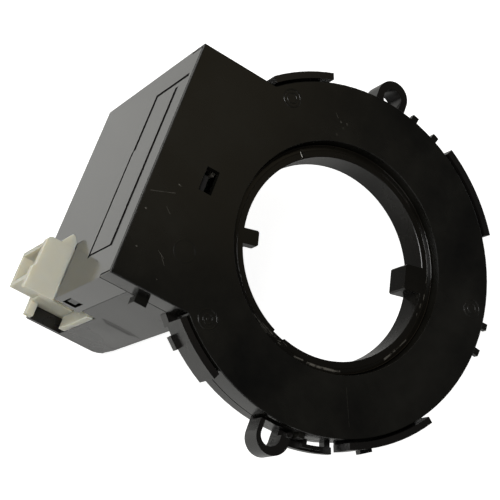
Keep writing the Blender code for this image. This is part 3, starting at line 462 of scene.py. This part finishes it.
def solder_mask(name):
    """Green solder mask over glass cloth with threads half a millimetre apart."""
    finish, tree, shader, place = new_finish(name)
    weave = None
    for axis in ("X", "Y", "Z"):
        band = add_node(
            tree, "TexWave", {"bands_direction": axis},
            Vector=place, Scale=1000 / THREAD_MM / WAVE_DIVISOR, Distortion=0.4,
        )
        if weave is None:
            weave = band.outputs["Fac"]
        else:
            weave = add_node(
                tree, "Math", {"operation": "MULTIPLY"}, i0=weave, i1=band.outputs["Fac"]
            ).outputs[0]
    tint = add_node(tree, "Mix", {"data_type": "RGBA"}, i0=weave, i6=linear("14502F"), i7=linear("1D6B3E"))
    tree.links.new(tint.outputs[2], shader.inputs["Base Color"])
    shader.inputs["Roughness"].default_value = 0.3
    shader.inputs["Coat Weight"].default_value = 0.3
    return finish


def metal(name, dark, pale, rough, mark_mm):
    """A metal whose handling marks are so many millimetres wide."""
    finish, tree, shader, place = new_finish(name)
    stain = add_node(tree, "TexNoise", Vector=place, Scale=1000 / mark_mm, Detail=4.0)
    tint = add_node(
        tree, "Mix", {"data_type": "RGBA"}, i0=stain.outputs["Fac"], i6=linear(dark), i7=linear(pale)
    )
    shine = add_node(tree, "MapRange", Value=stain.outputs["Fac"], i3=rough - 0.08, i4=rough + 0.1)
    tree.links.new(tint.outputs[2], shader.inputs["Base Color"])
    tree.links.new(shine.outputs[0], shader.inputs["Roughness"])
    shader.inputs["Metallic"].default_value = 1.0
    return finish


board_mask = solder_mask("green_solder_mask_on_fr4")
chip_epoxy = moulded("moulded_epoxy_chip", "191919", "232322", 0.5, 0.05, grain=0.4)
header_nylon = moulded("black_nylon_header", "1C1C1B", "262624", 0.45, 0.04, grain=0.4)
drawn_can = metal("drawn_aluminium_can", "BFC0C0", "D4D4D2", 0.28, 1.2)
tin_plate = metal("tin_plated_brass_terminal", "B9B4A4", "D2CDBE", 0.3, 1.5)
ferrite = moulded("sintered_ferrite_magnet", "2B2B2D", "3B3B3D", 0.55, 0.06, grain=0.5)
print(len(bpy.data.materials), "materials in the file so far")

# %% [markdown]
# A frame node is loose triangles with hard edges, which is right for physics but not for the eye: no real
# moulding has a perfectly sharp edge, and the thin bright line along each edge is what makes plastic look
# like plastic. So each shell gets a finer copy: its triangles are merged, its flat areas joined, its sharp
# edges rounded by a tenth of a millimetre or two, and only true corners stay sharp in the shading.

# %% Finer copies of the frame's nodes
MERGE_WITHIN = 0.002 * MM
FLAT_WITHIN = math.radians(0.6)
ROUNDED_ABOVE = math.radians(38)
SHORTEST_ROUNDED = 0.25 * MM
TWISTED_ABOVE = math.radians(8)
SMOOTH_UP_TO = math.radians(34)


def finer_copy(node, body, finish, rounding, refine=None):
    """A merged copy of a frame node with rounded edges, in mm, that stands for the node."""
    shape = bmesh.new()
    shape.from_mesh(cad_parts[node].data)
    bmesh.ops.remove_doubles(shape, verts=shape.verts, dist=MERGE_WITHIN)
    if refine is not None:
        refine(shape)
    bmesh.ops.dissolve_limit(
        shape, angle_limit=FLAT_WITHIN, verts=shape.verts, edges=shape.edges, delimit={"NORMAL"}
    )
    sharp = [
        edge for edge in shape.edges
        if len(edge.link_faces) == 2
        and edge.calc_face_angle_signed(0) > ROUNDED_ABOVE
        and edge.calc_length() > SHORTEST_ROUNDED
    ]
    bmesh.ops.bevel(
        shape, geom=sharp, offset=rounding * MM, offset_type="OFFSET", segments=2, profile=0.5,
        affect="EDGES", clamp_overlap=True, material=-1, miter_outer="ARC",
    )
    bmesh.ops.dissolve_degenerate(shape, dist=MERGE_WITHIN / 2, edges=shape.edges)
    small = [face for face in shape.faces if len(face.verts) > 4 and face.calc_area() < MM * MM]
    bmesh.ops.connect_verts_nonplanar(shape, angle_limit=TWISTED_ABOVE, faces=small)
    for face in shape.faces:
        face.smooth = True
    for edge in shape.edges:
        edge.smooth = not (len(edge.link_faces) == 2 and edge.calc_face_angle(0) > SMOOTH_UP_TO)
    made = new_object(node + "_finish", shape, finish)
    weighted = made.modifiers.new("even_shading", "WEIGHTED_NORMAL")
    weighted.keep_sharp = True
    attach(made, body)
    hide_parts(node)
    print(node, len(made.data.polygons), "faces")


print("edges over", round(math.degrees(ROUNDED_ABOVE)), "degrees get rounded")

# %% [markdown]
# The real rotor ends in a thin lip that almost fills the hole in the cover, while the solids keep a wider
# running gap. So the copies of both are drawn finer here: corners near the lip are moved outwards, most of
# all those at its edge, and the cover's hole is made straight. Corners are picked by their depth and their
# distance from the axis.

# %% Lip and mouth
ROTOR_FRONT = 2.3
ROTOR_R = 27.9
BORE_R = 25.7
BORE_EDGE = 0.15
BORE_CHAMFER = 0.35
LIP_R = 28.95
LIP_ROOT_R = 26.9
LIP_DEPTH = 3.25
LIP_THINNING = 0.8
MOUTH_R = 29.15
MOUTH_EDGE = 0.2
MOUTH_DEPTHS = (1.0, 3.7)
MOUTH_RADII = (28.4, 29.0)
MOUTH_EDGE_RADII = (29.4, 29.7)


def depth_and_radius(vertex):
    """A corner's depth behind the front face and its distance from the rotor's axis, in mm."""
    return FRONT - vertex.co.z / MM, math.hypot(vertex.co.x, vertex.co.y) / MM


def move_out(vertex, radius, new_radius):
    """A corner moved straight away from the rotor's axis; both radii in mm."""
    vertex.co.x *= new_radius / radius
    vertex.co.y *= new_radius / radius


def widen_rim(shape):
    """The rotor's outer front rim spread to a thin lip that almost closes the gap to the cover."""
    for vertex in shape.verts:
        depth, radius = depth_and_radius(vertex)
        if depth < LIP_DEPTH and radius > LIP_ROOT_R:
            stretch = (LIP_R - LIP_ROOT_R) / (ROTOR_R - LIP_ROOT_R)
            move_out(vertex, radius, LIP_ROOT_R + (radius - LIP_ROOT_R) * stretch)
            vertex.co.z = mm(0, 0, ROTOR_FRONT + (depth - ROTOR_FRONT) * LIP_THINNING)[2]
        if 0.3 < depth - ROTOR_FRONT < 0.5 and abs(radius - BORE_R) < 0.05:
            vertex.co.z = mm(0, 0, ROTOR_FRONT + BORE_EDGE)[2]
        if depth - ROTOR_FRONT < 0.05 and abs(radius - BORE_R - BORE_CHAMFER) < 0.06:
            move_out(vertex, radius, BORE_R + BORE_EDGE)


def open_mouth(shape):
    """The cover's hole made straight, so that the lip fits in it with 0.2 mm to spare."""
    for vertex in shape.verts:
        depth, radius = depth_and_radius(vertex)
        if MOUTH_DEPTHS[0] < depth < MOUTH_DEPTHS[1] and MOUTH_RADII[0] < radius < MOUTH_RADII[1]:
            move_out(vertex, radius, MOUTH_R)
        if depth < MOUTH_EDGE and MOUTH_EDGE_RADII[0] < radius < MOUTH_EDGE_RADII[1]:
            move_out(vertex, radius, MOUTH_R + MOUTH_EDGE)
    bmesh.ops.remove_doubles(shape, verts=shape.verts, dist=MERGE_WITHIN)


print("gap between lip and cover in mm:", round(MOUTH_R - LIP_R, 2))

# %% [markdown]
# Moulded covers snap together with hardly a gap, and a socket is pressed in until it sits. Here too the
# solids keep gaps that physics can measure, so the copies are let out until only a fine dark seam is left.
# The top wall of the socket's opening is made a little thicker, so that its edge has room to be rounded.

# %% Seams
FLANGE_END = side_low[0] / MM + 7.1
FLANGE_LONGER = 0.2
SOCKET_BACK = side_low[0] / MM - 0.3
SOCKET_SEATED = side_low[0] / MM - 0.04
SOCKET_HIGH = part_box("connector_housing")[1][0] / MM
SEAM_CLOSED_BY = 0.25
SHOULDER_DEPTH = 37.0
OPENING_TOP_DEPTH = 38.3
WALL_THICKER = 0.4


def is_at(value, place):
    """Whether a value in mm lies at a place, to 0.02 mm."""
    return abs(value - place) < 0.02


def close_flanges(shape):
    """The side cover's flanges let out almost to the housing."""
    for vertex in shape.verts:
        if is_at(vertex.co.x / MM, FLANGE_END):
            vertex.co.x += FLANGE_LONGER * MM


def close_seams(shape):
    """The socket's faces next to the box moved almost against it, and its opening's top wall made thicker."""
    for vertex in shape.verts:
        if is_at(vertex.co.x / MM, SOCKET_BACK):
            vertex.co.x = SOCKET_SEATED * MM
        if is_at(vertex.co.x / MM, SOCKET_HIGH):
            vertex.co.x += SEAM_CLOSED_BY * MM
        depth = FRONT - vertex.co.z / MM
        if is_at(depth, SHOULDER_DEPTH):
            vertex.co.z += SEAM_CLOSED_BY * MM
        if is_at(depth, OPENING_TOP_DEPTH):
            vertex.co.z -= WALL_THICKER * MM


print("flanges end at x =", round(FLANGE_END + FLANGE_LONGER, 2), "mm")

# %% [markdown]
# Each of the five shells that show now gets its copy. A thin black wall has small roundings, while the
# softer, thicker socket has larger ones.

# %% Five shells
finer_copy("front_cover", "sensor_body", cover_pbt, 0.12, refine=open_mouth)
finer_copy("rear_housing", "sensor_body", housing_pbt, 0.12)
finer_copy("side_cover", "sensor_body", side_pbt, 0.1, refine=close_flanges)
finer_copy("drive_rotor", "drive_rotor", rotor_pom, 0.1, refine=widen_rim)
finer_copy("connector_housing", "sensor_body", socket_pbt, 0.18, refine=close_seams)

# %% [markdown]
# An injection mould leaves its own marks. Where the pins push the cover out of the mould stand faint rings, a
# few millimetres across. Each is a fine low ridge, so it is a small flat oval spun about the ring's centre
# and sunk half into the face. The rotor has two such ridges all round, near its lip, and they catch the light
# on the right.

# %% Fine rings
OVAL_SIDES = 12
FEWEST_STEPS = 32
STEPS_PER_MM = 8


def fine_ring(name, x, y, depth, radius, width, height, body, finish):
    """A low ridge with an oval section, its lower half sunk in a face; sizes in mm."""
    shape = bmesh.new()
    section = bmesh.ops.create_circle(shape, radius=1.0, segments=OVAL_SIDES)
    bmesh.ops.scale(shape, vec=(width / 2 * MM, height * MM, 1), verts=section["verts"])
    upright = Matrix.Rotation(math.radians(90), 3, "X")
    bmesh.ops.rotate(shape, cent=(0, 0, 0), matrix=upright, verts=section["verts"])
    bmesh.ops.translate(shape, vec=mm(x + radius, y, depth), verts=section["verts"])
    steps = max(FEWEST_STEPS, int(radius * STEPS_PER_MM))
    bmesh.ops.spin(
        shape, geom=shape.verts[:] + shape.edges[:], cent=mm(x, y, depth), axis=(0, 0, 1),
        angle=math.radians(360), steps=steps, use_merge=True,
    )
    bmesh.ops.remove_doubles(shape, verts=shape.verts, dist=MERGE_WITHIN / 2)
    bmesh.ops.recalc_face_normals(shape, faces=shape.faces)
    for face in shape.faces:
        face.smooth = True
    ring = new_object(name, shape, finish)
    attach(ring, body)


MOULD_RINGS = [
    (-26.5, 31.0, 2.3, 0.09), (-26.5, 31.0, 1.3, 0.09), (-26.6, -30.6, 2.4, 0.06), (-26.6, -30.6, 1.2, 0.06),
    (-26.6, -30.6, 0.25, 0.06), (40.0, 5.5, 2.3, 0.09), (40.0, 5.5, 1.2, 0.09), (-38.0, -18.5, 2.7, 0.03),
]
RING_WIDTH = 0.4
for number, (x, y, radius, height) in enumerate(MOULD_RINGS, 1):
    name = "mould_ring_" + str(number)
    fine_ring(name, x, y, 0.0, radius, RING_WIDTH, height, "sensor_body", cover_pbt)
for name, depth, radius, width, height in (
    ("rotor_ridge_outer", ROTOR_FRONT + 0.3, 28.7, 0.34, 0.22),
    ("rotor_ridge_inner", ROTOR_FRONT, 27.35, 0.2, 0.1),
):
    fine_ring(name, 0, 0, depth, radius, width, height, "drive_rotor", rubbed_pom)
print(len(MOULD_RINGS), "mould rings and two rotor ridges")

# %% [markdown]
# The rotor has one short bright line on its front, along a shallow groove. The fitter turns it to the mark
# before the steering wheel goes on. The line is a painted highlight: a thin pale bar with a rounded top sits
# in the groove and stands for the glint along the groove's edge.

# %% Index line
LINE_SIZE = (1.5 * MM, 0.24 * MM, 0.3 * MM)
LINE_ROUNDING = 0.06 * MM
LINE_R = 26.85 * MM
LINE_ANGLE = math.radians(132.2)
LINE_DEPTH = ROTOR_FRONT + 0.12
GLINT_PATCH_MM = 0.4


def build_index_line():
    """The pale bar in the index groove, a little patchy: a painted highlight for the glint along the groove's
    edge.
    """
    glint_finish, tree, shader, place = new_finish("index_groove_painted_glint")
    patch = add_node(tree, "TexNoise", Vector=place, Scale=1000 / GLINT_PATCH_MM, Detail=2.0)
    # Pale grey: a painted highlight for the glint along the index groove's edge.
    tint = add_node(
        tree, "Mix", {"data_type": "RGBA"}, i0=patch.outputs["Fac"], i6=linear("8F8D86"), i7=linear("C9C7C0")
    )
    tree.links.new(tint.outputs[2], shader.inputs["Base Color"])
    shader.inputs["Roughness"].default_value = 0.5
    shape = bmesh.new()
    bmesh.ops.create_cube(shape, size=1.0)
    bmesh.ops.scale(shape, vec=LINE_SIZE, verts=shape.verts)
    upper = [edge for edge in shape.edges if all(vertex.co.z > 0 for vertex in edge.verts)]
    bmesh.ops.bevel(
        shape, geom=upper, offset=LINE_ROUNDING, offset_type="OFFSET", segments=2, profile=0.5,
        affect="EDGES", material=-1,
    )
    bmesh.ops.translate(shape, vec=(LINE_R, 0, 0), verts=shape.verts)
    bmesh.ops.rotate(shape, cent=(0, 0, 0), matrix=Matrix.Rotation(LINE_ANGLE, 3, "Z"), verts=shape.verts)
    bmesh.ops.translate(shape, vec=mm(0, 0, LINE_DEPTH), verts=shape.verts)
    line = new_object("index_line", shape, glint_finish)
    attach(line, "drive_rotor")


build_index_line()
print("index line at", round(math.degrees(LINE_ANGLE), 1), "degrees")

# %% [markdown]
# The small pieces inside keep the frame's own shapes, because hardly anything shows of them until the covers
# are off. They only need the right finish.

# %% Finishes on the inner nodes


def dress(finish, *nodes):
    """Gives frame nodes, which keep their shapes, their finish."""
    for node in nodes:
        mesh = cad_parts[node].data
        mesh.materials.clear()
        mesh.materials.append(finish)


dress(gear_pom_greased_and_shaded, "measuring_gear_a", "measuring_gear_b")
dress(ferrite, "gear_magnet_a", "gear_magnet_b")
dress(board_mask, "sensor_board", "controller_board")
dress(chip_epoxy, "magnetic_sensor_a", "magnetic_sensor_b")
dress(chip_epoxy, "microcontroller", "bus_transceiver", "voltage_regulator")
dress(header_nylon, "board_link_header")
dress(drawn_can, "clock_crystal", "capacitor_a", "capacitor_b")
dress(tin_plate, *["terminal_" + str(i) for i in range(1, 6)])
print("inner nodes dressed")
